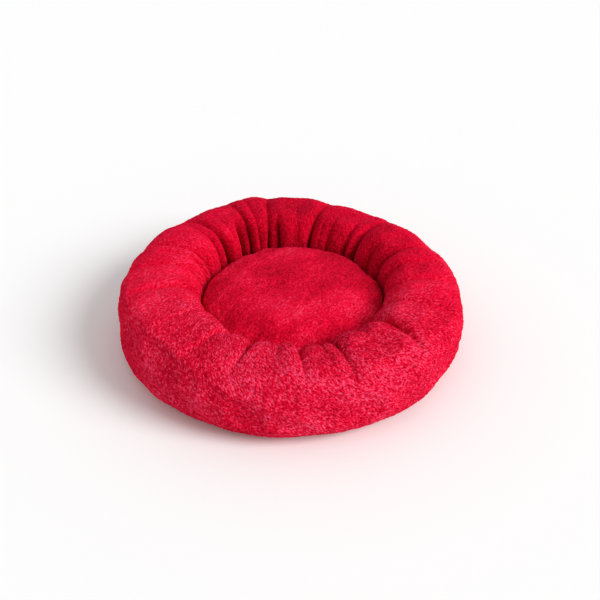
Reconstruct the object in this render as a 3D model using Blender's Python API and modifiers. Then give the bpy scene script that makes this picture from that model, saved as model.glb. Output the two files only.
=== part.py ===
"""A round plush pet bed: a stuffed, gathered ring round a well, with a loose zipped cushion lying in the well.

Metres, +Z up. The origin is on the surface that the bed stands on, under the middle of the ring.
"""

import math

import bpy

# Driving dimensions.
bed_diameter = 0.600
ring_width = 0.139
ring_height = 0.130
ring_roundness = 2.2  # exponent of the ring's section: 2 is an ellipse, more is squarer
outer_seam_height = 0.012  # where the ring's sleeve turns straight down to the base, outside
plush_thickness = 0.004
base_thickness = 0.002
floor_thickness = 0.0025
wadding_thickness = 0.008
tape_width = 0.010
tape_thickness = 0.0012

cushion_gap = 0.003  # all round, between the cushion and the narrowest place of the well
cushion_height = 0.090
cushion_edge_height = 0.044  # up the cushion's side, to its widest place
cushion_roundness = 3.0
cushion_tuck = 0.016  # how far the cushion's underside is smaller than its widest place

zip_end_margin = 0.022  # from each end of the zip to the edge of the cushion's underside
zip_opening = 0.014
zip_tape_width = 0.014
zip_tape_thickness = 0.0006
coil_width = 0.0018
coil_thickness = 0.0016
coil_spacing = 0.0016  # between the two coils, where the slider's post runs
slider_length = 0.009
slider_plate = 0.0007
slider_post = 0.0010
stop_length = 0.003

touch_gap = 0.0003  # between pieces that touch
fill_gap = 0.001  # between a plush cover and the stuffing in it
slider_gap = 0.0003  # round the zip's coils and tapes, inside the slider
groove_gap = 0.001  # round the zip, inside the cushion's fill

ring_steps = 48  # round the ring and the cushion
arc_steps = 7  # in each quarter of a section

# Worked out from them.
bed_radius = bed_diameter / 2
ring_centre = bed_radius - ring_width / 2
well_radius = bed_radius - ring_width
layer_floor = base_thickness + touch_gap
wadding_top = layer_floor + wadding_thickness
floor_bottom = wadding_top + touch_gap
floor_top = floor_bottom + floor_thickness
cushion_bottom = floor_top + touch_gap
cushion_radius = well_radius - cushion_gap
panel_top = cushion_bottom + plush_thickness
zip_length = 2 * (cushion_radius - cushion_tuck - zip_end_margin)
zip_tape_bottom = panel_top + touch_gap
zip_tape_top = zip_tape_bottom + zip_tape_thickness
coil_top = zip_tape_bottom - touch_gap
coil_bottom = coil_top - coil_thickness
coil_inner = coil_spacing / 2
coil_outer = coil_inner + coil_width
slider_start = zip_length / 2 - stop_length - touch_gap - slider_length / 2


def clear_scene():
    for old in list(bpy.data.objects):
        bpy.data.objects.remove(old, do_unlink=True)


def make_collection(name):
    made = bpy.data.collections.new(name)
    bpy.context.scene.collection.children.link(made)
    return made


def material(name, colour, roughness, metallic=0.0):
    made = bpy.data.materials.new(name)
    made.use_nodes = True
    shader = made.node_tree.nodes["Principled BSDF"]
    shader.inputs["Base Color"].default_value = (*colour, 1)
    shader.inputs["Roughness"].default_value = roughness
    shader.inputs["Metallic"].default_value = metallic
    return made


def add_object(name, data, finish, parent, collection):
    made = bpy.data.objects.new(name, data)
    made.data.materials.append(finish)
    made.parent = parent
    collection.objects.link(made)
    return made


def empty(name, location, parent, collection):
    made = bpy.data.objects.new(name, None)
    made.location = location
    made.parent = parent
    collection.objects.link(made)
    return made


def arc(centre, half_width, half_height, roundness, start, end):
    """Points of a superellipse from one angle to another, in quarter turns."""
    count = max(2, round(arc_steps * abs(end - start)))
    points = []
    for i in range(count + 1):
        angle = math.pi / 2 * (start + (end - start) * i / count)
        across = math.copysign(abs(math.cos(angle)) ** (2 / roundness), math.cos(angle))
        up = math.copysign(abs(math.sin(angle)) ** (2 / roundness), math.sin(angle))
        points.append((centre[0] + half_width * across, centre[1] + half_height * up))
    return points


def quarter_at(height, centre_height, half_height, roundness):
    """The angle, in quarter turns below level, at which a superellipse reaches this height."""
    drop = min(0.999, (centre_height - height) / half_height)
    return math.asin(drop ** (roundness / 2)) / (math.pi / 2)


def moved_in(points, distance):
    """The same outline moved towards the stuffing, for one whose stuffing lies on its right."""
    moved = []
    for i, (x, z) in enumerate(points):
        before = points[max(i - 1, 0)]
        after = points[min(i + 1, len(points) - 1)]
        run, rise = after[0] - before[0], after[1] - before[1]
        length = math.hypot(run, rise)
        moved.append((x + rise / length * distance, z - run / length * distance))
    return moved


def ring_outline(bottom):
    """The sleeve's outside, from the well's seam over the crown to the outer seam."""
    middle = ring_height / 2
    inner = quarter_at(floor_top + touch_gap, middle, middle, ring_roundness)
    outer = quarter_at(outer_seam_height, middle, middle, ring_roundness)
    # in stretches that end on the ring's narrowest, highest and widest places, so that its size is exact
    turns = [2 + inner, 2, 1, 0, -outer]
    curve = []
    for start, end in zip(turns, turns[1:]):
        curve += arc((ring_centre, middle), ring_width / 2, middle, ring_roundness, start, end)[bool(curve):]
    return [(curve[0][0], bottom), *curve, (curve[-1][0], bottom)]


def cushion_outline(bottom):
    """The cushion's outside, from the middle of its top to its underside's edge."""
    widest = cushion_bottom + cushion_edge_height
    crown = cushion_bottom + cushion_height - widest
    upper = arc((0, widest), cushion_radius, crown, cushion_roundness, 1, 0)
    corner = (cushion_radius - cushion_tuck, widest)
    turn = quarter_at(panel_top + touch_gap, widest, cushion_edge_height, cushion_roundness)
    lower = arc(corner, cushion_tuck, cushion_edge_height, cushion_roundness, 0, -turn)
    return [*upper, *lower[1:], (lower[-1][0], bottom)]


def turned(name, outline, finish, parent, collection, is_loop=False, wall=0.0):
    """An outline turned about the parent's Z axis: a solid, or a shell with this wall, towards its inside."""
    if parent:
        outline = [(x, z - parent.location.z) for x, z in outline]
    mesh = bpy.data.meshes.new(name)
    edges = [(i, i + 1) for i in range(len(outline) - 1)]
    if is_loop:
        edges.append((len(outline) - 1, 0))
    mesh.from_pydata([(x, 0, z) for x, z in outline], edges, [])
    made = add_object(name, mesh, finish, parent, collection)
    screw = made.modifiers.new("turn", "SCREW")
    screw.steps = ring_steps
    screw.render_steps = ring_steps
    screw.use_merge_vertices = True
    screw.merge_threshold = 0.00001
    screw.use_smooth_shade = True
    if wall:
        shell = made.modifiers.new("wall", "SOLIDIFY")
        shell.thickness = wall
        shell.offset = -1
        shell.use_even_offset = True
    return made


def disc_outline(radius, bottom, top):
    return [(0, top), (radius, top), (radius, bottom), (0, bottom)]


def box(name, low, high, finish, parent, collection):
    """A box between two corners given in world places."""
    bpy.ops.mesh.primitive_cube_add(size=1)
    made = bpy.context.object
    made.name = name
    made.data.name = name
    for owner in list(made.users_collection):
        owner.objects.unlink(made)
    collection.objects.link(made)
    base = parent.matrix_world.translation if parent else (0, 0, 0)
    made.parent = parent
    made.location = [(a + b) / 2 - c for a, b, c in zip(low, high, base)]
    for vertex in made.data.vertices:
        vertex.co = [p * (b - a) for p, a, b in zip(vertex.co, low, high)]
    if finish:
        made.data.materials.append(finish)
    return made


def cutter(name, low, high):
    made = box(name, low, high, None, None, cutters)
    made.hide_render = True
    made.display_type = "WIRE"
    return made


def cut(piece, tool, operation="DIFFERENCE"):
    step = piece.modifiers.new(tool.name, "BOOLEAN")
    step.operation = operation
    step.solver = "EXACT"
    step.object = tool


def make_base(finishes):
    """The flat underside and the two layers of the well's floor."""
    edge = ring_outline(layer_floor)[-1][0]
    turned("base_panel", disc_outline(edge, 0, base_thickness), finishes["base"], None, bed)
    well = ring_outline(layer_floor)[0][0] - touch_gap
    wadding = disc_outline(well, layer_floor, wadding_top)
    turned("floor_wadding", wadding, finishes["wadding"], None, bed)
    turned("floor_panel", disc_outline(well, floor_bottom, floor_top), finishes["floor"], None, bed)


def make_ring(finishes):
    """The plush sleeve, its stuffing, and the tape that its gathered edge is sewn to."""
    outline = ring_outline(layer_floor)
    turned("bolster_cover", outline, finishes["plush"], None, bed, wall=plush_thickness)
    seam = outline[0][0] + plush_thickness + touch_gap
    tape_top = layer_floor + tape_thickness
    tape = [(seam, tape_top), (seam + tape_width, tape_top)]
    tape += [(seam + tape_width, layer_floor), (seam, layer_floor)]
    turned("gather_tape", tape, finishes["tape"], None, bed, is_loop=True)
    fill = moved_in(ring_outline(tape_top + touch_gap), plush_thickness + fill_gap)
    turned("bolster_fill", fill, finishes["fibre"], None, bed, is_loop=True)


def make_cushion(finishes, cushion):
    """The crowned cover, the stuffing, and the underside in two halves that the zip joins."""
    outline = cushion_outline(cushion_bottom)
    turned("cushion_top_panel", outline, finishes["plush"], cushion, bed, wall=plush_thickness)

    inner = moved_in(outline[1:], plush_thickness + fill_gap)
    fill_bottom = zip_tape_bottom
    fill_edge = inner[-1][0]
    above = [(x, z) for x, z in inner if z > fill_bottom + touch_gap]
    crown = outline[0][1] - plush_thickness - fill_gap
    fill = [(0, crown), *above, (fill_edge, fill_bottom), (0, fill_bottom)]
    stuffing = turned("cushion_fill", fill, finishes["fibre"], cushion, bed)
    groove_x = zip_length / 2 + zip_tape_width + groove_gap
    groove_y = coil_inner + zip_tape_width + groove_gap
    groove_top = zip_tape_top + slider_gap + slider_plate + groove_gap
    below = fill_bottom - plush_thickness
    cut(stuffing, cutter("zip_groove", (-groove_x, -groove_y, below), (groove_x, groove_y, groove_top)))

    under = outline[-1][0] - plush_thickness - touch_gap
    lower, upper = cushion_bottom - plush_thickness, panel_top + plush_thickness
    slot = cutter(
        "zip_slot",
        (-zip_length / 2, -zip_opening / 2, lower),
        (zip_length / 2, zip_opening / 2, upper),
    )
    for side, name in ((-1, "front"), (1, "back")):
        panel = turned(
            f"cushion_lower_panel_{name}",
            disc_outline(under, cushion_bottom, panel_top),
            finishes["lining"],
            cushion,
            bed,
        )
        near, far = sorted((side * touch_gap / 2, side * 2 * under))
        half = cutter(f"half_{name}", (-2 * under, near, lower), (2 * under, far, upper))
        cut(panel, half, "INTERSECT")
        cut(panel, slot)


def make_zip(finishes, cushion):
    """Two tapes, two coils, and the stops at the ends of the zip."""
    for side, name in ((-1, "front"), (1, "back")):
        near, far = sorted((side * coil_inner, side * (coil_inner + zip_tape_width)))
        reach = zip_length / 2 + zip_tape_width / 2
        low, high = (-reach, near, zip_tape_bottom), (reach, far, zip_tape_top)
        box(f"zip_tape_{name}", low, high, finishes["zip"], cushion, bed)
        near, far = sorted((side * coil_inner, side * coil_outer))
        reach = zip_length / 2 - stop_length - touch_gap
        low, high = (-reach, near, coil_bottom), (reach, far, coil_top)
        box(f"zip_coil_{name}", low, high, finishes["coil"], cushion, bed)
    for side, name in ((1, "top"), (-1, "bottom")):
        near, far = sorted((side * (zip_length / 2 - stop_length), side * zip_length / 2))
        low, high = (near, -coil_outer, coil_bottom), (far, coil_outer, coil_top)
        box(f"zip_{name}_stop", low, high, finishes["metal"], cushion, bed)


def make_slider(finishes, slider):
    """The slider's section, an I with the lower plate's edges turned up round the coils, along the zip."""
    plate_half = coil_outer + slider_gap + slider_plate
    lower = coil_bottom - slider_gap
    flange = coil_top - slider_gap
    inside = coil_outer + slider_gap
    upper = zip_tape_top + slider_gap
    post = slider_post / 2
    right = [
        (plate_half, lower - slider_plate),
        (plate_half, flange),
        (inside, flange),
        (inside, lower),
        (post, lower),
        (post, upper),
        (plate_half, upper),
        (plate_half, upper + slider_plate),
    ]
    section = right + [(-y, z) for y, z in reversed(right)]
    base = slider.matrix_world.translation
    curve = bpy.data.curves.new("zip_slider", "CURVE")
    curve.dimensions = "2D"
    curve.fill_mode = "BOTH"
    curve.extrude = slider_length / 2
    spline = curve.splines.new("POLY")
    spline.points.add(len(section) - 1)
    for point, (y, z) in zip(spline.points, section):
        point.co = (y, z - base.z, 0, 1)
    spline.use_cyclic_u = True
    made = add_object("zip_slider", curve, finishes["metal"], slider, bed)
    made.rotation_euler = (math.pi / 2, 0, math.pi / 2)


clear_scene()
bed = make_collection("pet_cushion_bed")
cutters = make_collection("cutters")
finishes = {
    "plush": material("plush", (0.62, 0.008, 0.035), 0.9),
    "lining": material("lining", (0.45, 0.010, 0.030), 0.85),
    "floor": material("floor", (0.50, 0.008, 0.030), 0.9),
    "base": material("base", (0.020, 0.020, 0.022), 0.75),
    "wadding": material("wadding", (0.80, 0.80, 0.78), 0.95),
    "fibre": material("fibre", (0.85, 0.85, 0.84), 0.95),
    "tape": material("tape", (0.42, 0.010, 0.028), 0.8),
    "zip": material("zip_tape", (0.40, 0.008, 0.025), 0.7),
    "coil": material("zip_coil", (0.38, 0.008, 0.022), 0.4),
    "metal": material("metal", (0.62, 0.62, 0.63), 0.35, 1.0),
}
cushion = empty("cushion", (0, 0, cushion_bottom), None, bed)
slider = empty("slider", (slider_start, 0, coil_bottom - cushion_bottom), cushion, bed)
bpy.context.view_layer.update()
make_base(finishes)
make_ring(finishes)
make_cushion(finishes, cushion)
make_zip(finishes, cushion)
make_slider(finishes, slider)
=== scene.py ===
import math

import bmesh
import bpy
import numpy as np
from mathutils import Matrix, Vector


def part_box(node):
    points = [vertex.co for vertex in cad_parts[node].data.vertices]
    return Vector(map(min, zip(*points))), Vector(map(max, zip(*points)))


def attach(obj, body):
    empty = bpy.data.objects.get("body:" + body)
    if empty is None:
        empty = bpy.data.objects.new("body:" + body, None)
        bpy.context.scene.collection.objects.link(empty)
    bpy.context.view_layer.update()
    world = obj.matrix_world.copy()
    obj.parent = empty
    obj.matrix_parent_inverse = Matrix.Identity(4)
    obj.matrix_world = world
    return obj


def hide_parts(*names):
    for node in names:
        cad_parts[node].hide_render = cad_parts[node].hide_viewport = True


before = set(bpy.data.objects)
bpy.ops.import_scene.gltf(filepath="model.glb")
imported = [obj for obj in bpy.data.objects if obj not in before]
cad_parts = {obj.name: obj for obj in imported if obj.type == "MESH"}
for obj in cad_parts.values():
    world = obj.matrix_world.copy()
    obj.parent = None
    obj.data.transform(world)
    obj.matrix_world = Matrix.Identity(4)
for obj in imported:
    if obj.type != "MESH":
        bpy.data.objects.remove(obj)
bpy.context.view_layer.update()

ringLow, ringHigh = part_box("bolster_cover")
floorLow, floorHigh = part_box("floor_panel")
baseLow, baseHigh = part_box("base_panel")
cushionLow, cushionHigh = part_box("cushion_top_panel")
panelLow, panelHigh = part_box("cushion_lower_panel_front")
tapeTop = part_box("zip_tape_back")[1][2]
ringRadius = ringHigh[0]
ringTop = ringHigh[2]
baseTop = baseHigh[2]
floorTop = floorHigh[2]
cushionRadius = cushionHigh[0]
wellRadius = cushionRadius + 0.003  # the gap that the CAD leaves round the cushion
baseRadius = baseHigh[0] - 0.011  # the hem draws the base cloth in under the ring
turn = 2 * math.pi


gradients = np.random.default_rng(7).normal(size=(256, 3))
gradients /= np.linalg.norm(gradients, axis=1)[:, None]


def waves(points, cell, seed):  # smooth noise, about -1 to 1, whose features are one cell apart
    place = points / cell
    low = np.floor(place).astype(np.int64)
    part = place - low
    fade = part ** 3 * (part * (part * 6 - 15) + 10)
    total = np.zeros(len(points))
    for corner in range(8):
        step = np.array([corner & 1, corner >> 1 & 1, corner >> 2 & 1])
        key = (low + step) @ np.array([73856093, 19349663, 83492791]) + seed * 2654435761
        key = (key ^ (key >> 13)) * 1274126177
        slope = gradients[(key ^ (key >> 16)) & 255]
        weight = np.where(step, fade, 1 - fade).prod(axis=1)
        total += weight * ((part - step) * slope).sum(axis=1)
    return total * 1.6


def smooth(x, low, high):  # 0 below low, 1 above high, a soft step between
    x = np.clip((x - low) / (high - low), 0, 1)
    return x * x * (3 - 2 * x)


def meshObject(name, points, faces, finish):
    mesh = bpy.data.meshes.new(name)
    mesh.vertices.add(len(points))
    mesh.vertices.foreach_set("co", np.asarray(points, np.float32).ravel())
    sides = faces.shape[1]
    mesh.loops.add(faces.size)
    mesh.loops.foreach_set("vertex_index", faces.astype(np.int32).ravel())
    mesh.polygons.add(len(faces))
    mesh.polygons.foreach_set("loop_start", np.arange(0, faces.size, sides, dtype=np.int32))
    mesh.update(calc_edges=True)
    mesh.shade_smooth()
    mesh.materials.append(finish)
    made = bpy.data.objects.new(name, mesh)
    bpy.context.scene.collection.objects.link(made)
    return made


def pointsOf(mesh):
    found = np.empty(len(mesh.vertices) * 3, np.float32)
    mesh.vertices.foreach_get("co", found)
    return found.reshape(-1, 3).astype(float)


def normalsOf(mesh):
    found = np.empty(len(mesh.vertices) * 3, np.float32)
    mesh.vertex_normals.foreach_get("vector", found)
    return found.reshape(-1, 3).astype(float)


def setPoints(mesh, points):
    mesh.vertices.foreach_set("co", np.asarray(points, np.float32).ravel())
    mesh.update()


def keep(mesh, name, values):  # a number or a vector for each point, which the finishes read
    kind = "FLOAT" if values.ndim == 1 else "FLOAT_VECTOR"
    layer = mesh.attributes.new(name, kind, "POINT")
    layer.data.foreach_set("value" if values.ndim == 1 else "vector", np.asarray(values, np.float32).ravel())


def evaluated(obj):  # the object's mesh with its modifiers, as a new mesh
    graph = bpy.context.evaluated_depsgraph_get()
    return bpy.data.meshes.new_from_object(obj.evaluated_get(graph))


def weights(obj, name, values):  # a vertex group whose weights are these values, in tenths
    group = obj.vertex_groups.new(name=name)
    for tenth in range(1, 11):
        near = np.nonzero(np.round(np.clip(values, 0, 1) * 10) == tenth)[0]
        group.add(near.tolist(), tenth / 10, "REPLACE")
    return group


def inflated(obj, look, held, spare=None):  # cloth under pressure, its result put back on the mesh
    mesh = obj.data
    start = pointsOf(mesh)
    groups = [weights(obj, "held", held)]
    cloth = obj.modifiers.new("cloth", "CLOTH")
    cloth.settings.quality = 5
    cloth.settings.mass = 0.3
    cloth.settings.tension_stiffness = look["stiffness"]
    cloth.settings.compression_stiffness = look["stiffness"]
    cloth.settings.shear_stiffness = look["stiffness"] / 3
    cloth.settings.bending_stiffness = look["bending"]
    cloth.settings.use_pressure = True
    cloth.settings.uniform_pressure_force = look["pressure"]
    cloth.settings.vertex_group_mass = "held"
    if spare is not None:
        groups.append(weights(obj, "spare", spare))
        cloth.settings.vertex_group_shrink = "spare"
        cloth.settings.shrink_min = 0
        cloth.settings.shrink_max = -look["spare"]
    cloth.settings.effector_weights.gravity = 0
    cloth.point_cache.frame_start = 1
    cloth.point_cache.frame_end = look["frames"]
    scene = bpy.context.scene
    for number in range(1, look["frames"] + 1):
        scene.frame_set(number)
    puffed = evaluated(obj)
    moved = pointsOf(puffed) - start
    bpy.data.meshes.remove(puffed)
    obj.modifiers.remove(cloth)
    for group in groups:
        obj.vertex_groups.remove(group)
    scene.frame_set(1)
    far = np.linalg.norm(moved, axis=1)[:, None]
    moved *= look["cap"] * np.tanh(far / look["cap"]) / np.maximum(far, 1e-9)
    setPoints(mesh, start + moved)
    print("cloth", obj.name, "moved up to", round(float(far.max()) * 1000, 1), "mm")


class Wire:  # a socket of a finish, which can stand in a sum
    def __init__(self, finish, socket):
        self.finish = finish
        self.socket = socket

    def sum(self, operation, first, second):
        return self.finish.node("ShaderNodeMath", {"operation": operation}, {0: first, 1: second})["Value"]

    def __add__(self, other):
        return self.sum("ADD", self, other)

    def __radd__(self, other):
        return self.sum("ADD", other, self)

    def __sub__(self, other):
        return self.sum("SUBTRACT", self, other)

    def __rsub__(self, other):
        return self.sum("SUBTRACT", other, self)

    def __mul__(self, other):
        return self.sum("MULTIPLY", self, other)

    def __rmul__(self, other):
        return self.sum("MULTIPLY", other, self)

    def within(self, low, high):  # from 0 at low to 1 at high, held there beyond
        sockets = {"Value": self, "From Min": low, "From Max": high}
        return self.finish.node("ShaderNodeMapRange", {"interpolation_type": "SMOOTHSTEP"}, sockets)["Result"]


class Outputs:
    def __init__(self, finish, node):
        self.finish = finish
        self.node = node

    def __getitem__(self, name):
        return Wire(self.finish, self.node.outputs[name])


class Finish:
    def __init__(self, name, uniform):
        self.material = bpy.data.materials.new(name)
        self.material.use_nodes = True
        self.tree = self.material.node_tree
        self.tree.nodes.clear()
        self.surface = self.node("ShaderNodeBsdfPrincipled", {}, uniform)
        self.node("ShaderNodeOutputMaterial", {}, {"Surface": self.surface["BSDF"]})

    def node(self, kind, settings, sockets):
        made = self.tree.nodes.new(kind)
        for name, value in settings.items():
            setattr(made, name, value)
        for name, value in sockets.items():
            self.put(made.inputs[name], value)
        return Outputs(self, made)

    def put(self, socket, value):
        if isinstance(value, Wire):
            self.tree.links.new(value.socket, socket)
        elif isinstance(value, tuple) and len(value) == 3 and len(socket.default_value) == 4:
            socket.default_value = (*value, 1)
        else:
            socket.default_value = value

    def vary(self, name, value):
        self.put(self.surface.node.inputs[name], value)

    def noise(self, vector, scale, detail=2.0, rough=0.5):
        sockets = {"Vector": vector, "Scale": scale, "Detail": detail, "Roughness": rough}
        return self.node("ShaderNodeTexNoise", {}, sockets)["Fac"]

    def attribute(self, name, output):
        return self.node("ShaderNodeAttribute", {"attribute_name": name}, {})[output]

    def mix(self, first, second, factor):
        return self.node("ShaderNodeMix", {"data_type": "RGBA"}, {0: factor, 6: first, 7: second})[2]

    def stretch(self, vector, scale):
        return self.node("ShaderNodeVectorMath", {"operation": "MULTIPLY"}, {0: vector, 1: scale})["Vector"]

    def bump(self, height, distance, strength=1.0):
        sockets = {"Height": height, "Distance": distance, "Strength": strength}
        self.vary("Normal", self.node("ShaderNodeBump", {}, sockets)["Normal"])

    def place(self):
        return self.node("ShaderNodeTexCoord", {}, {})["Object"]


plushLook = {
    "root": (0.30, 0.0004, 0.006),  # painted shade, deep between the tufts
    "body": (0.86, 0.0032, 0.036),
    "tip": (1.0, 0.085, 0.20),  # the fibres' ends, lighter pink, with a painted highlight
    "patchSize": 17,
    "grainSize": 400,  # grains to the metre
    "fibreSize": 950,
}


def plushFinish(name, look):
    finish = Finish(name, {
        "Sheen Weight": 0.22,
        "Sheen Roughness": 0.4,
        "Sheen Tint": (1.0, 0.05, 0.18),
        "Specular IOR Level": 0.02,
    })
    nap = finish.attribute("nap", "Vector")
    tuft = finish.attribute("pile", "Fac")
    coarsePileAndHighlight = finish.attribute("coarsePileAndHighlight", "Fac")
    # lower where painted shade darkens the pile
    paintedLightLevel = finish.attribute("paintedLightLevel", "Fac")
    mottle = finish.attribute("mottle", "Fac")
    patches = finish.noise(nap, look["patchSize"], 3.0).within(0.32, 0.68)
    grain = finish.noise(nap, look["grainSize"], 2.0, 0.55)
    fibres = finish.noise(nap, look["fibreSize"], 2.0, 0.6)
    # grain and fibres vary the tone at random; the tufts' lower parts are darker, as painted shade
    fine = 1.9 * (grain - 0.5) + 1.0 * (fibres - 0.5) + 0.35 * (tuft - 0.5)
    lit = 0.26 + 0.30 * paintedLightLevel + mottle * (patches - 0.5) + fine * (0.40 + 0.50 * coarsePileAndHighlight)
    rootShadeMix = finish.mix(look["root"], look["body"], lit.within(0.0, 0.66))
    # painted highlight on the fibres' ends, more of it where the pile is coarse
    tipHighlightShare = lit.within(0.56, 1.02) * (0.50 + 0.50 * coarsePileAndHighlight)
    finish.vary("Base Color", finish.mix(rootShadeMix, look["tip"], tipHighlightShare))
    finish.vary("Roughness", 0.96 - 0.16 * tuft)
    finish.bump((grain + 0.4 * fibres) * (0.5 + 0.5 * coarsePileAndHighlight), 0.0045, 1.0)
    return finish.material


def clothFinish(name, colour, weave, rough):  # a plain woven cloth, with this many threads to the metre
    finish = Finish(name, {"Sheen Weight": 0.15, "Sheen Roughness": 0.5, "Specular IOR Level": 0.25})
    place = finish.place()
    sockets = {"Vector": place, "Scale": weave}
    across = finish.node("ShaderNodeTexWave", {"bands_direction": "X"}, sockets)["Fac"]
    along = finish.node("ShaderNodeTexWave", {"bands_direction": "Y"}, sockets)["Fac"]
    threads = across * 0.5 + along * 0.5
    worn = finish.noise(place, 30, 4.0)
    dark = tuple(part * 0.6 for part in colour)
    finish.vary("Base Color", finish.mix(dark, colour, (threads * 0.6 + worn * 0.6).within(0.2, 0.9)))
    finish.vary("Roughness", rough + 0.1 * worn)
    finish.bump(threads, 0.0004, 0.5)
    return finish.material


def fibreFinish(name, colour):  # loose white fibre, in strands and lumps
    finish = Finish(name, {"Sheen Weight": 0.4, "Sheen Roughness": 0.6, "Specular IOR Level": 0.2})
    place = finish.place()
    strands = finish.noise(finish.stretch(place, (1, 0.25, 1)), 420, 5.0, 0.7)
    lumps = finish.noise(place, 45, 3.0)
    dark = tuple(part * 0.7 for part in colour)
    finish.vary("Base Color", finish.mix(dark, colour, (strands * 0.6 + lumps * 0.6).within(0.25, 0.85)))
    finish.vary("Roughness", 0.9 + 0.1 * lumps)
    finish.bump(strands, 0.0015, 0.7)
    return finish.material


def hardFinish(name, colour, metal, rough):  # nylon or steel, rubbed in a fine random pattern
    finish = Finish(name, {"Specular IOR Level": 0.5})
    place = finish.place()
    rubbed = finish.noise(place, 900, 4.0)
    finish.vary("Base Color", finish.mix(tuple(part * 0.75 for part in colour), colour, rubbed))
    finish.vary("Metallic", metal - 0.1 * metal * rubbed)
    finish.vary("Roughness", rough + 0.2 * rubbed)
    finish.bump(rubbed, 0.0001, 0.4)
    return finish.material


plush = plushFinish("crimsonPlush", plushLook)
lining = clothFinish("crimsonLining", (0.55, 0.008, 0.035), 900, 0.8)
grip = clothFinish("blackGripCloth", (0.030, 0.030, 0.033), 700, 0.7)
dots = hardFinish("gripDots", (0.045, 0.045, 0.048), 0.0, 0.5)
wadding = fibreFinish("needledWadding", (0.80, 0.80, 0.78))
fibre = fibreFinish("looseFibre", (0.88, 0.88, 0.87))
woven = clothFinish("wovenTape", (0.45, 0.008, 0.028), 1400, 0.75)
nylon = hardFinish("nylonCoil", (0.42, 0.008, 0.024), 0.0, 0.35)
steel = hardFinish("satinSteel", (0.62, 0.62, 0.63), 1.0, 0.3)
print("finishes made")


# Each crease: where it starts round the well in degrees (0 right, 90 back), how deep in mm,
# how far over the crown it reaches (0.5 is the crown's top, 1 the outside), and how far it swings in degrees.
creases = [
    (9.5, 10, 0.72, 0), (21.5, 24, 0.76, 0), (34, 7, 0.50, -2), (48, 18, 0.64, -5), (54, 9, 0.50, -3),
    (66, 6, 0.45, -2), (79, 18, 0.72, -9), (97, 15, 0.32, 0), (104.5, 16, 0.80, -7), (110, 9, 0.70, 1),
    (115, 16, 0.74, 2), (122, 20, 0.38, 0), (127, 5, 0.62, 3), (133, 16, 0.80, 5), (141, 13, 0.76, 0),
    (154, 18, 0.84, 9), (160, 7, 0.62, 8), (169, 17, 0.84, 8), (178, 9, 0.68, 4), (188, 12, 0.72, 2),
    (200, 6, 0.60, 0), (212, 7, 0.58, 3), (234, 12, 0.66, -4), (252, 20, 0.60, -4), (264, 9, 0.45, 0),
    (272, 20, 0.64, 4), (283, 6, 0.50, 4), (292, 20, 0.72, -2), (307, 7, 0.58, -4), (323, 22, 0.80, -8),
    (336, 10, 0.70, 6), (351, 22, 0.80, 10),
]

# How far the ring stands from a true one at these degrees, in mm: outwards, and up at its crown.
shapeAt = [0, 30, 60, 90, 105, 120, 135, 150, 180, 210, 235, 260, 285, 315, 335, 360]
shapeOut = [-1, -9, -19, -10, 5, -3, -7, -3, 1, 3, 2, -3, -4, 1, 3, 0]
shapeUp = [-2, -8, -12, -5, -1, -1, -1, 0, 0, -1, -3, -5, -6, -4, -3, -2]
wellAt = [0, 20, 45, 80, 180, 270, 310, 340, 360]
wellOut = [6, 6, 3, 0, 0, 0, 2, 5, 6]  # the same for the well's side, which the cushion fills

ring = {
    "around": 400,
    "section": 96,
    "finer": 2,  # times that the grid is halved after the cloth has settled
    "roundness": 2.25,
    "sag": 2.5,  # the same where its outer side rests on the floor
    "fineCreases": 44,
    "lumps": 0.0030,
    "pressure": 3.0,
    "stiffness": 12.0,
    "bending": 0.3,
    "spare": 0.16,  # share of extra cloth where the sleeve is gathered
    "frames": 20,
    "cap": 0.011,
    "slant": -2.0,  # the nap's turn round the ring, in radians for each metre over the crown
    "tuftWidth": 0.0027,
    "tuftSqueeze": 0.75,  # tufts are longer over the crown than round the ring
    "tuftHeight": 0.0018,
}


def section(half, top, bottom, look):
    # even points of the ring's section, from under the tube round the well's side and over the crown
    angle = np.linspace(-math.pi / 2, -math.pi / 2 - turn, 2001)
    power = np.where((np.cos(angle) > 0) & (np.sin(angle) < 0), look["sag"], look["roundness"])
    across = half * np.sign(np.cos(angle)) * np.abs(np.cos(angle)) ** (2 / power)
    up = (top + bottom) / 2 + (top - bottom) / 2 * np.sign(np.sin(angle)) * np.abs(np.sin(angle)) ** (2 / power)
    length = np.concatenate([[0], np.cumsum(np.hypot(np.diff(across), np.diff(up)))])
    at = np.linspace(0, length[-1], look["section"] + 1)[:-1]
    over = np.interp(at, length, (-math.pi - angle) / math.pi)  # 0 facing the well, 0.5 on top, 1 outside
    return np.interp(at, length, across), np.interp(at, length, up), over, at


def creaseDepth(azimuth, over, radius, items):
    total = np.zeros_like(azimuth)
    crown = np.clip(over, 0, 1)
    for i, (where, depth, reach, swing) in enumerate(items):
        away = (azimuth - np.radians(where + swing * crown ** 1.2) + math.pi) % turn - math.pi
        steep = 0.65 if i % 3 == 1 else 1.5  # one side of a fold is steeper than the other
        away = np.abs(away) * radius * np.where(away > 0, steep, 1 / steep)
        sharp = 0.0030 + 0.0040 * crown
        broad = 0.012 + 0.012 * crown
        shape = 0.65 * np.exp(-((away / sharp) ** 1.05)) + 0.35 * np.exp(-((away / broad) ** 1.3))
        fade = (1 - smooth(over, 0.22, reach + 0.12)) * (1 - 0.25 * smooth(over, 0.1, 0.4))
        total += depth / 1000 * shape * fade * smooth(over, -0.5, -0.15)
    return total - 0.8 * total.mean(axis=0)  # the lobes between stand out by what the creases take


def fineCreases(count, seed):
    random = np.random.default_rng(seed)
    found = []
    for i in range(count):
        where = (i + random.uniform(-0.5, 0.5)) * 360 / count
        found.append((where, random.uniform(0.5, 3.5), random.uniform(0.25, 0.75), random.uniform(-8, 8)))
    return found


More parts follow.
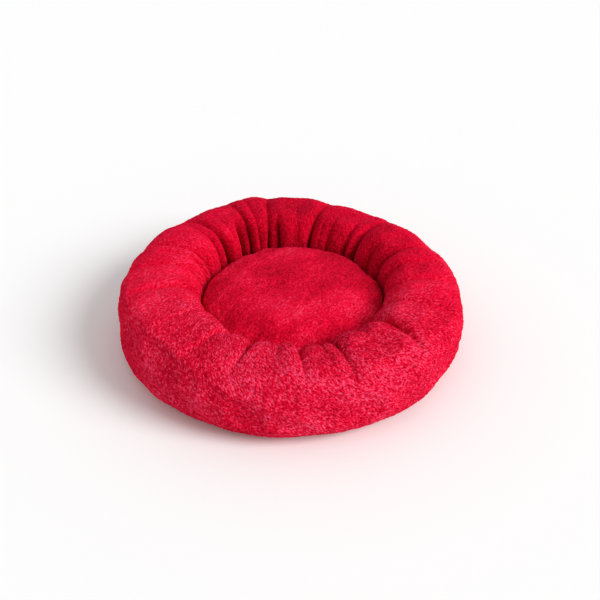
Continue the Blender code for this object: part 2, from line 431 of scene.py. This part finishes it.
def finer(grid):  # a closed grid of points halved in both ways, as a smooth surface
    for axis in (0, 1):
        after, before = np.roll(grid, -1, axis), np.roll(grid, 1, axis)
        corner = (before + 6 * grid + after) / 8
        between = (grid + after) / 2
        shape = list(grid.shape)
        shape[axis] *= 2
        grid = np.stack([corner, between], axis + 1).reshape(shape)
    return grid


def gridFaces(rows, columns):
    index = np.arange(rows * columns).reshape(rows, columns)
    right, up = np.roll(index, -1, 0), np.roll(index, -1, 1)
    corner = np.roll(right, -1, 1)
    return np.stack([index, right, corner, up], -1).reshape(-1, 4)


def addMap(mesh, places):  # the map that colours are kept on, with a place for each face corner
    layer = mesh.uv_layers.new(name="OFBake")
    layer.uv.foreach_set("vector", np.asarray(places, np.float32).ravel())


def gridMap(rows, columns):
    row = np.repeat(np.arange(rows), columns).reshape(rows, columns)
    column = np.tile(np.arange(columns), rows).reshape(rows, columns)
    low = np.stack([row, column], -1).reshape(-1, 1, 2)
    steps = np.array([(0, 0), (1, 0), (1, 1), (0, 1)]).reshape(1, 4, 2)
    return (low + steps) / np.array([rows, columns]) * 0.99 + 0.005


def wellAround(points):  # the cushion's radius under each point
    degrees = np.degrees(np.arctan2(points[..., 1], points[..., 0])) % 360
    return cushionRadius + np.interp(degrees, wellAt, wellOut) / 1000


def hemAround(points):  # the base cloth's radius at each point, which follows the ring's own shape
    degrees = np.degrees(np.arctan2(points[..., 1], points[..., 0])) % 360
    return baseRadius + np.minimum(np.interp(degrees, shapeAt, shapeOut), 0) / 1000


def clearOfRest(points):
    # the sleeve lies on the base cloth, and presses on the cushion's side without touching it
    spread = np.hypot(points[..., 0], points[..., 1])
    floor = np.where(spread > hemAround(points) + 0.0015, 0.0006, baseTop + 0.0005)
    points[..., 2] = np.maximum(points[..., 2], floor)
    near = wellAround(points) + 0.0008
    points[..., :2] *= (np.maximum(spread, near) / np.maximum(spread, 1e-6))[..., None]


def makeRing():
    half = (ringRadius - wellRadius) / 2
    centre = wellRadius + half
    bottom = 0.0008
    across, up, over, along = section(half, ringTop - 0.003, bottom, ring)
    azimuth = np.arange(ring["around"]) * turn / ring["around"]
    azimuth, over = np.broadcast_arrays(azimuth[:, None], over[None])
    across, up = np.broadcast_to(across, over.shape), np.broadcast_to(up, over.shape)
    radius = centre + across

    # the sleeve stands out or in along the section's own normal
    tilt = np.arctan2(up - (ringTop + bottom) / 2, across)
    depth = 0.6 * creaseDepth(azimuth, over, radius, creases)
    depth += 0.5 * creaseDepth(azimuth, over, radius, fineCreases(ring["fineCreases"], 3))
    puff = 0.002 + 0.006 * smooth(over, 0.05, 0.40) * (1 - smooth(over, 0.5, 1.0))
    standing = puff - 0.030 * np.tanh(depth / 0.030)
    flat = np.stack([np.cos(azimuth) * centre, np.sin(azimuth) * centre, up], -1).reshape(-1, 3)
    lump = waves(flat, 0.075, 1) + 0.5 * waves(flat, 0.035, 2)
    standing = standing + ring["lumps"] * lump.reshape(over.shape) * smooth(over, 0.0, 0.4)

    degrees = np.degrees(azimuth)
    out = np.interp(degrees, shapeAt, shapeOut) / 1000 * smooth(over, 0.2, 0.9)
    out += np.interp(degrees, wellAt, wellOut) / 1000 * (1 - smooth(over, 0.1, 0.7))
    lift = np.interp(degrees, shapeAt, shapeUp) / 1000 * smooth(up, 0.03, ringTop)
    radius = radius + np.cos(tilt) * standing + out
    up = up + np.sin(tilt) * standing + lift
    grid = np.stack([np.cos(azimuth) * radius, np.sin(azimuth) * radius, up], -1)
    clearOfRest(grid)

    rough = meshObject("ringCloth", grid.reshape(-1, 3), gridFaces(*over.shape), plush)
    held = np.maximum(1 - smooth(over, -0.30, -0.05), smooth(over, 1.15, 1.4)).reshape(-1)
    spare = (smooth(over, -0.2, 0.1) * (1 - smooth(over, 0.35, 0.75))).reshape(-1)
    inflated(rough, ring, held, spare)
    grid = pointsOf(rough.data).reshape(grid.shape)
    bpy.data.objects.remove(rough)

    fine = grid
    for _ in range(ring["finer"]):
        fine = finer(fine)
    rows, columns = fine.shape[:2]
    spin = np.arange(rows) * turn / rows
    length = np.arange(columns) * along[-1] / columns
    spin, length = np.broadcast_arrays(spin[:, None], length[None])

    # the cloth draws the creases flat, so the rest of their depth comes after it
    fineOver = np.interp(length, along, over[0], right=over[0, -1])
    fineRadius = np.hypot(fine[..., 0], fine[..., 1])
    depth = 1.1 * creaseDepth(spin, fineOver, fineRadius, creases)
    depth += 0.9 * creaseDepth(spin, fineOver, fineRadius, fineCreases(ring["fineCreases"], 3))
    tilt = np.interp(length, along, np.unwrap(tilt[0]), right=np.unwrap(tilt[0])[-1])
    inward = np.stack([np.cos(tilt) * np.cos(spin), np.cos(tilt) * np.sin(spin), np.sin(tilt)], -1)
    fine = fine - inward * (0.022 * np.tanh(depth / 0.022))[..., None]
    creaseShade = smooth(depth, 0.003, 0.016)  # painted shade in the creases, where the pile is shut
    slant = spin + ring["slant"] * length
    nap = np.stack([np.cos(slant) * centre, np.sin(slant) * centre, length * ring["tuftSqueeze"]], -1)
    nap = nap.reshape(-1, 3)

    sideways = np.roll(fine, -1, 0) - np.roll(fine, 1, 0)
    upward = np.roll(fine, -1, 1) - np.roll(fine, 1, 1)
    normal = np.cross(sideways, upward).reshape(-1, 3)
    normal /= np.linalg.norm(normal, axis=1)[:, None]
    # the pile is brushed flatter at the back and sides, and at the front its tips carry more painted highlight
    coarsePileAndHighlight = 0.35 + 0.65 * smooth(-np.sin(spin), -0.05, 0.85)
    points, height = piled(fine.reshape(-1, 3), normal, nap, ring, 0.4 + 0.6 * coarsePileAndHighlight.ravel())
    clearOfRest(points)

    cover = meshObject("bolsterCover", points, gridFaces(rows, columns), plush)
    keep(cover.data, "nap", nap)
    keep(cover.data, "pile", height)
    keep(cover.data, "coarsePileAndHighlight", coarsePileAndHighlight.ravel())
    keep(cover.data, "mottle", np.full(len(points), 0.16))
    # painted shade: the well's inner wall at the back and right is darker, and so are the creases
    backWallShade = np.clip(np.cos(spin - math.radians(65)) * 1.3, 0, 1) * (1 - smooth(fineOver, 0.45, 0.8))
    keep(cover.data, "paintedLightLevel", (1 - 0.75 * backWallShade - 1.3 * creaseShade).ravel())
    addMap(cover.data, gridMap(rows, columns))
    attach(cover, "bed")
    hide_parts("bolster_cover")
    return cover


def piled(points, normal, nap, look, strength=1.0):
    # tufts of pile raised on a surface, and how high each point of it is
    bent = nap + 0.003 * np.stack([waves(nap, 0.012, 11), waves(nap, 0.012, 12), waves(nap, 0.012, 13)], -1)
    tufts = waves(bent, look["tuftWidth"], 5) + 0.55 * waves(bent, look["tuftWidth"] * 1.9, 6)
    height = smooth(tufts, -0.75, 0.65)
    raised = look["tuftHeight"] * (height - 0.5) * (0.85 + 0.35 * waves(nap, 0.05, 9)) * strength
    return points + normal * raised[:, None], height


bolsterCover = makeRing()
print("ring made", len(bolsterCover.data.vertices), "points")


cushion = {
    "voxel": 0.005,
    "pressure": 2.5,
    "stiffness": 12.0,
    "bending": 0.3,
    "frames": 20,
    "cap": 0.008,
    "dents": 0.0045,
    "tuftWidth": 0.0030,
    "tuftHeight": 0.0010,
    "napTurn": 0.9,  # which way its nap lies, in radians from the right
    "napSqueeze": 0.6,
    "crownRoundness": 3.4,
    "tuckRoundness": 2.3,
    "crownDrop": 0.004,  # below the CAD's top, since the cloth then puffs up
    "widestUp": 0.048,
    "rimGap": 0.0006,  # from the underside's panels to the cover round them
    "recessGap": 0.0012,
}


def cushionOutline():
    # from the middle of the top, over the edge, and in under it to the recess of the underside's panels
    low, high = cushionLow[2], cushionHigh[2] - cushion["crownDrop"]
    widest = low + cushion["widestUp"]
    rim = panelHigh[0] + cushion["rimGap"]
    recess = tapeTop + cushion["recessGap"]
    angle = np.linspace(math.pi / 2, 0, 26)
    power = 2 / cushion["crownRoundness"]
    rise = high - widest
    upper = [(cushionRadius * math.cos(a) ** power, widest + rise * math.sin(a) ** power) for a in angle]
    angle = np.linspace(0, -math.pi / 2, 10)[1:]
    tuck = cushionRadius - rim
    power = 2 / cushion["tuckRoundness"]
    lower = [(rim + tuck * math.cos(a) ** power, widest + (widest - low) * math.sin(a)) for a in angle]
    return upper + lower + [(rim, recess), (0, recess)]


def turnedMesh(name, outline, steps, finish):
    outline = np.array(outline)
    angle = np.arange(steps) * turn / steps
    body = outline[1:-1]
    ringPoints = np.stack([
        np.outer(np.cos(angle), body[:, 0]),
        np.outer(np.sin(angle), body[:, 0]),
        np.tile(body[:, 1], (steps, 1)),
    ], -1).reshape(-1, 3)
    points = np.vstack([ringPoints, [[0, 0, outline[0][1]], [0, 0, outline[-1][1]]]])
    made = bmesh.new()
    corners = [made.verts.new(p) for p in points]
    count = len(body)
    for i in range(steps):
        j = (i + 1) % steps
        for k in range(count - 1):
            made.faces.new([corners[i * count + k], corners[i * count + k + 1],
                            corners[j * count + k + 1], corners[j * count + k]])
        made.faces.new([corners[-2], corners[i * count], corners[j * count]])
        made.faces.new([corners[-1], corners[j * count + count - 1], corners[i * count + count - 1]])
    mesh = bpy.data.meshes.new(name)
    made.to_mesh(mesh)
    made.free()
    mesh.materials.append(finish)
    obj = bpy.data.objects.new(name, mesh)
    bpy.context.scene.collection.objects.link(obj)
    return obj


def remeshed(obj, voxel):
    step = obj.modifiers.new("even", "REMESH")
    step.mode = "VOXEL"
    step.voxel_size = voxel
    step.use_smooth_shade = True
    mesh = evaluated(obj)
    obj.modifiers.remove(step)
    old = obj.data
    obj.data = mesh
    bpy.data.meshes.remove(old)


def subdivided(obj, levels):
    step = obj.modifiers.new("finer", "SUBSURF")
    step.levels = levels
    step.render_levels = levels
    mesh = evaluated(obj)
    obj.modifiers.remove(step)
    old = obj.data
    obj.data = mesh
    bpy.data.meshes.remove(old)


def halvesMap(mesh):  # the upper faces laid out flat beside the lower ones
    count = len(mesh.polygons)
    normal = np.empty(count * 3, np.float32)
    mesh.polygons.foreach_get("normal", normal)
    start = np.empty(count, np.int32)
    mesh.polygons.foreach_get("loop_start", start)
    total = np.empty(count, np.int32)
    mesh.polygons.foreach_get("loop_total", total)
    face = np.repeat(np.arange(count), total)
    vertex = np.empty(len(mesh.loops), np.int32)
    mesh.loops.foreach_get("vertex_index", vertex)
    points = pointsOf(mesh)
    reach = np.abs(points[:, :2]).max() * 1.02
    flat = points[vertex][:, :2] / reach / 2 + 0.5
    below = normal.reshape(-1, 3)[face, 2] < 0
    flat[:, 0] = flat[:, 0] * 0.5 + 0.5 * below
    addMap(mesh, flat)


def makeCushion():
    cover = turnedMesh("cushionCover", cushionOutline(), 120, plush)
    remeshed(cover, cushion["voxel"])
    mesh = cover.data
    points = pointsOf(mesh)
    low = cushionLow[2]
    held = 1 - smooth(points[:, 2], low + 0.006, low + 0.024)
    inflated(cover, cushion, held)
    points = pointsOf(mesh)
    spread = np.hypot(points[:, 0], points[:, 1])
    loose = smooth(points[:, 2], low + 0.02, low + 0.05)
    dent = waves(points * (1, 1, 0.3), 0.085, 21) + 0.45 * waves(points * (1, 1, 0.3), 0.04, 22)
    angle = np.arctan2(points[:, 1], points[:, 0])
    rim = smooth(spread, cushionRadius * 0.80, cushionRadius)
    puckers = 0.0012 * np.sin(angle * 46 + 3 * np.sin(angle * 7)) * rim
    points[:, 2] += cushion["dents"] * dent * loose + puckers * loose
    setPoints(mesh, points)
    subdivided(cover, 2)
    mesh = cover.data
    points = pointsOf(mesh)
    # it fills the well to its side, and nothing of it stands further out
    spread = np.maximum(np.hypot(points[:, 0], points[:, 1]), 1e-6)
    near = wellAround(points)
    wider = spread * (1 + (near / cushionRadius - 1) * smooth(spread, 0.08, cushionRadius))
    points[:, :2] *= (np.minimum(wider, near - 0.0010) / spread)[:, None]
    turned = cushion["napTurn"]
    along = points[:, 0] * math.cos(turned) + points[:, 1] * math.sin(turned)
    aside = points[:, 1] * math.cos(turned) - points[:, 0] * math.sin(turned)
    nap = np.stack([along * cushion["napSqueeze"], aside, points[:, 2]], -1)
    setPoints(mesh, points)
    raisedPoints, height = piled(points, normalsOf(mesh), nap, cushion)
    above = smooth(points[:, 2], low + 0.004, low + 0.012)[:, None]
    setPoints(mesh, points + (raisedPoints - points) * above)
    keep(mesh, "nap", nap)
    keep(mesh, "pile", height)
    keep(mesh, "coarsePileAndHighlight", np.full(len(points), 0.40))
    keep(mesh, "mottle", np.full(len(points), 0.34))
    keep(mesh, "paintedLightLevel", np.full(len(points), 0.62))
    halvesMap(mesh)
    mesh.shade_smooth()
    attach(cover, "cushion")
    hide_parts("cushion_top_panel")
    return cover


cushionCover = makeCushion()
print("cushion made", len(cushionCover.data.vertices), "points")


def softCopy(node, name, body, finish, look):
    # a CAD solid made soft: remeshed finely, drawn in a little and given lumps
    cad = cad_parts[node]
    made = bpy.data.objects.new(name, cad.data.copy())
    made.data.materials.clear()
    made.data.materials.append(finish)
    bpy.context.scene.collection.objects.link(made)
    remeshed(made, look["voxel"])
    points = pointsOf(made.data)
    normal = normalsOf(made.data)
    lump = waves(points, look["cell"], 31) + 0.4 * waves(points, look["cell"] * 0.4, 32)
    rise = look["lump"] * lump - look["shrink"]
    setPoints(made.data, points + normal * rise[:, None])
    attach(made, body)
    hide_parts(node)
    return made


stuffing = {
    "bolster": {"voxel": 0.006, "shrink": 0.022, "lump": 0.003, "cell": 0.03},
    "cushion": {"voxel": 0.005, "shrink": 0.012, "lump": 0.002, "cell": 0.03},
}


def makeBolsterStuffing():
    made = softCopy("bolster_fill", "bolsterStuffing", "bed", fibre, stuffing["bolster"])
    points = pointsOf(made.data)
    degrees = np.degrees(np.arctan2(points[:, 1], points[:, 0])) % 360
    spread = np.hypot(points[:, 0], points[:, 1])
    outer = smooth(spread, wellRadius + 0.03, ringRadius - 0.03)
    narrower = spread + np.minimum(np.interp(degrees, shapeAt, shapeOut) / 1000, 0) * outer
    points[:, :2] *= (narrower / spread)[:, None]  # the fibre follows the sleeve's own shape
    points[:, 2] += np.interp(degrees, shapeAt, shapeUp) / 1000 * smooth(points[:, 2], 0.03, ringTop - 0.02)
    setPoints(made.data, points)


makeBolsterStuffing()
cushionStuffing = softCopy("cushion_fill", "cushionStuffing", "cushion", fibre, stuffing["cushion"])

def closedSheet(name, rows, finish, body, node):
    # a disc of cloth, cut to its CAD panel's radius
    count, around = rows.shape[:2]
    index = np.arange(count * around).reshape(count, around)
    nextColumn = np.roll(index, -1, 1)
    faces = np.stack([index[:-1], index[1:], nextColumn[1:], nextColumn[:-1]], -1).reshape(-1, 4)
    cloth = meshObject(name, rows.reshape(-1, 3), faces, finish)
    filled = bmesh.new()
    filled.from_mesh(cloth.data)
    bmesh.ops.holes_fill(filled, edges=[e for e in filled.edges if e.is_boundary], sides=around)
    bmesh.ops.recalc_face_normals(filled, faces=filled.faces)
    filled.to_mesh(cloth.data)
    filled.free()
    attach(cloth, body)
    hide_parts(node)
    return cloth


base = {
    "dotSpacing": 0.024,
    "dotRadius": 0.0024,
    "dotHeight": 0.0004,
}


def makeBase():
    # a disc of grippy cloth, drawn in slightly along its hem, with rubber dots under it
    around, across = 180, 60
    angle = np.arange(around) * turn / around
    share = np.concatenate([np.linspace(0.02, 0.97, across), [0.985, 0.995, 1.0]])
    hem = 1 - 0.35 * smooth(share, 0.985, 1.0)
    edge = hemAround(np.stack([np.cos(angle), np.sin(angle)], -1))
    rows = []
    for side in (1, -1):
        for part, thin in zip(share if side > 0 else share[::-1], hem if side > 0 else hem[::-1]):
            wave = 0.00025 * np.sin(angle * 30 + 9 * part) * part
            radius = edge * part + (0.0006 * np.sin(angle * 41) if part > 0.9 else 0 * angle)
            height = baseTop / 2 + side * baseTop / 2 * thin * 0.9 + (wave if side > 0 else 0)
            rows.append(np.stack([np.cos(angle) * radius, np.sin(angle) * radius, height + 0 * angle], -1))
    closedSheet("baseCloth", np.array(rows), grip, "bed", "base_panel")

    stud = bmesh.new()
    bmesh.ops.create_uvsphere(stud, u_segments=12, v_segments=6, radius=base["dotRadius"])
    bmesh.ops.triangulate(stud, faces=stud.faces)
    shape = np.array([vertex.co for vertex in stud.verts]) * (1, 1, base["dotHeight"] / base["dotRadius"])
    corners = np.array([[vertex.index for vertex in face.verts] for face in stud.faces])
    stud.free()
    spacing = base["dotSpacing"]
    reach = int(baseRadius / spacing) + 2
    row, column = np.mgrid[-reach:reach + 1, -reach:reach + 1]
    spots = np.stack([(column + 0.5 * (row % 2)) * spacing, row * spacing * math.sqrt(3) / 2, 0 * row], -1)
    spots = spots.reshape(-1, 3)
    spots = spots[np.hypot(spots[:, 0], spots[:, 1]) < hemAround(spots) - 0.012]
    points = (spots[:, None] + shape).reshape(-1, 3)
    faces = (np.arange(len(spots))[:, None, None] * len(shape) + corners).reshape(-1, 3)
    gripStuds = meshObject("gripStuds", points, faces, dots)
    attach(gripStuds, "bed")


makeBase()

floorCloth = {
    "rings": 64,
    "around": 360,
    "hollow": 0.0016,  # how far it sags in the middle
    "puckers": 52,
    "puckerDepth": 0.0011,
}


def makeFloorCloth():
    # the well's floor: a round cloth that its seam draws into small puckers
    look = floorCloth
    share = np.linspace(0.004, 1, look["rings"])
    angle = np.arange(look["around"]) * turn / look["around"]
    share, angle = np.broadcast_arrays(share[:, None], angle[None])
    radius = share * (floorHigh[0] - 0.0008)
    flat = np.stack([np.cos(angle) * radius, np.sin(angle) * radius, 0 * radius], -1)
    wave = np.sin(angle * look["puckers"] + 1.5 * np.sin(angle * 5)) * smooth(share, 0.55, 1.0)
    lump = waves(flat.reshape(-1, 3), 0.045, 41).reshape(radius.shape)
    low, high = floorLow[2], floorTop
    sag = look["hollow"] * (1 - share ** 2) + look["puckerDepth"] * (0.5 - 0.5 * wave) + 0.0005 * np.abs(lump)
    edge = 1 - smooth(share, 0.985, 1.0) * 0.8
    top = np.stack([flat[..., 0], flat[..., 1], np.maximum(high - sag * 0.5, low + 0.0008)], -1)
    below = np.stack([flat[..., 0], flat[..., 1], low + (1 - edge) * 0.0006 + 0 * radius], -1)
    rows = np.concatenate([top, below[::-1]])
    closedSheet("wellFloorCloth", rows, lining, "bed", "floor_panel")


makeFloorCloth()


underside = {"voxel": 0.0016, "lump": 0.0004, "cell": 0.018, "shrink": 0.00015}
for side in ("front", "back"):
    panel = softCopy(
        "cushion_lower_panel_" + side, "cushionUnderside" + side.capitalize(), "cushion", lining,
        underside,
    )

zipCoil = {"pitch": 0.0022, "wire": 0.00042, "turnPoints": 10}


def makeCoil(node, name, side):
    # one side of the zip: a nylon wire wound into flattened turns, as long as its CAD solid
    low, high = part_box(node)
    half = [(high[i] - low[i]) / 2 - zipCoil["wire"] for i in range(3)]
    middle = [(high[i] + low[i]) / 2 for i in range(3)]
    turns = int(2 * half[0] / zipCoil["pitch"])
    count = turns * zipCoil["turnPoints"]
    curve = bpy.data.curves.new(name, "CURVE")
    curve.dimensions = "3D"
    curve.bevel_depth = zipCoil["wire"]
    curve.bevel_resolution = 2
    curve.use_fill_caps = True
    wire = curve.splines.new("POLY")
    wire.points.add(count)
    for i, point in enumerate(wire.points):
        phase = turn * i / zipCoil["turnPoints"] + (math.pi if side > 0 else 0)
        x = middle[0] - half[0] + 2 * half[0] * i / count
        squared = math.copysign(abs(math.cos(phase)) ** 0.7, math.cos(phase))
        point.co = (x, middle[1] + half[1] * squared, middle[2] + half[2] * math.sin(phase), 1)
    wound = bpy.data.objects.new(name, curve)
    curve.materials.append(nylon)
    bpy.context.scene.collection.objects.link(wound)
    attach(wound, "cushion")
    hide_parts(node)


makeCoil("zip_coil_front", "zipCoilFront", -1)
makeCoil("zip_coil_back", "zipCoilBack", 1)

stitch = {"spacing": 0.0034, "length": 0.0024, "thick": 0.00028, "halfOpening": 0.007, "fromZip": 0.0035}


def makeStitches():
    # two rows of thread that sew the zip's tapes to the underside
    made = bmesh.new()
    bmesh.ops.create_uvsphere(made, u_segments=8, v_segments=6, radius=1)
    bmesh.ops.triangulate(made, faces=made.faces)
    shape = np.array([vertex.co for vertex in made.verts])
    corners = np.array([[vertex.index for vertex in face.verts] for face in made.faces])
    made.free()
    shape = shape * (stitch["length"] / 2, stitch["thick"], stitch["thick"])
    zipLow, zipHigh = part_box("zip_coil_front")
    count = int((zipHigh[0] - zipLow[0]) / stitch["spacing"])
    x = zipLow[0] + stitch["spacing"] * (np.arange(count) + 0.5)
    away = stitch["halfOpening"] + stitch["fromZip"]
    places = [np.stack([x, side * away + 0 * x, panelLow[2] + 0 * x], -1) for side in (-1, 1)]
    spots = np.concatenate(places)
    points = (spots[:, None] + shape).reshape(-1, 3)
    faces = (np.arange(len(spots))[:, None, None] * len(shape) + corners).reshape(-1, 3)
    thread = meshObject("zipStitching", points, faces, woven)
    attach(thread, "cushion")


makeStitches()

for node, finish in {
    "floor_wadding": wadding,
    "gather_tape": woven,
    "zip_tape_front": woven,
    "zip_tape_back": woven,
    "zip_top_stop": steel,
    "zip_bottom_stop": steel,
    "zip_slider": steel,
}.items():
    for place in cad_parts[node].material_slots:
        place.material = finish
print("inner pieces made")


studio = {
    "distance": 1.6,
    "height": 37.0,  # degrees that the camera looks down
    "lens": 54.5,
    "aim": (0.0153, 0.0, 0.068),
    "sunStrength": 2.6,
    "sunAngle": 32,
    "sunFrom": (1.0, -0.42, 0.74),
    "skyStrength": 0.6,
}


def makeStudio():
    mesh = bpy.data.meshes.new("studioFloor")
    size = 60.0
    level = baseLow[2] - 0.0006
    mesh.from_pydata([(-size, -size, level), (size, -size, level), (size, size, level), (-size, size, level)],
                     [], [(0, 1, 2, 3)])
    floor = bpy.data.objects.new("studioFloor", mesh)
    bpy.context.scene.collection.objects.link(floor)
    pale = Finish("paleFloor", {"Base Color": (0.93, 0.93, 0.93), "Roughness": 0.9, "Specular IOR Level": 0.1})
    mesh.materials.append(pale.material)

    sun = bpy.data.lights.new("softKey", "SUN")
    sun.energy = studio["sunStrength"]
    sun.angle = math.radians(studio["sunAngle"])
    lamp = bpy.data.objects.new("softKey", sun)
    lamp.rotation_euler = Vector(studio["sunFrom"]).to_track_quat("Z", "Y").to_euler()
    bpy.context.scene.collection.objects.link(lamp)

    world = bpy.data.worlds.new("studioSky")
    world.use_nodes = True
    sky = world.node_tree.nodes["Background"]
    sky.inputs["Color"].default_value = (1.0, 1.0, 1.0, 1)
    sky.inputs["Strength"].default_value = studio["skyStrength"]
    bpy.context.scene.world = world

    down = math.radians(studio["height"])
    middle = Vector((0, 0, studio["aim"][2]))
    eye = middle + studio["distance"] * Vector((0, -math.cos(down), math.sin(down)))
    camera = bpy.data.objects.new("camera", bpy.data.cameras.new("camera"))
    camera.location = eye
    camera.rotation_euler = (Vector(studio["aim"]) - eye).to_track_quat("-Z", "Y").to_euler()
    camera.data.lens = studio["lens"]
    bpy.context.scene.collection.objects.link(camera)
    bpy.context.scene.camera = camera
    bpy.context.scene.view_settings.view_transform = "Standard"


makeStudio()
print("studio made")
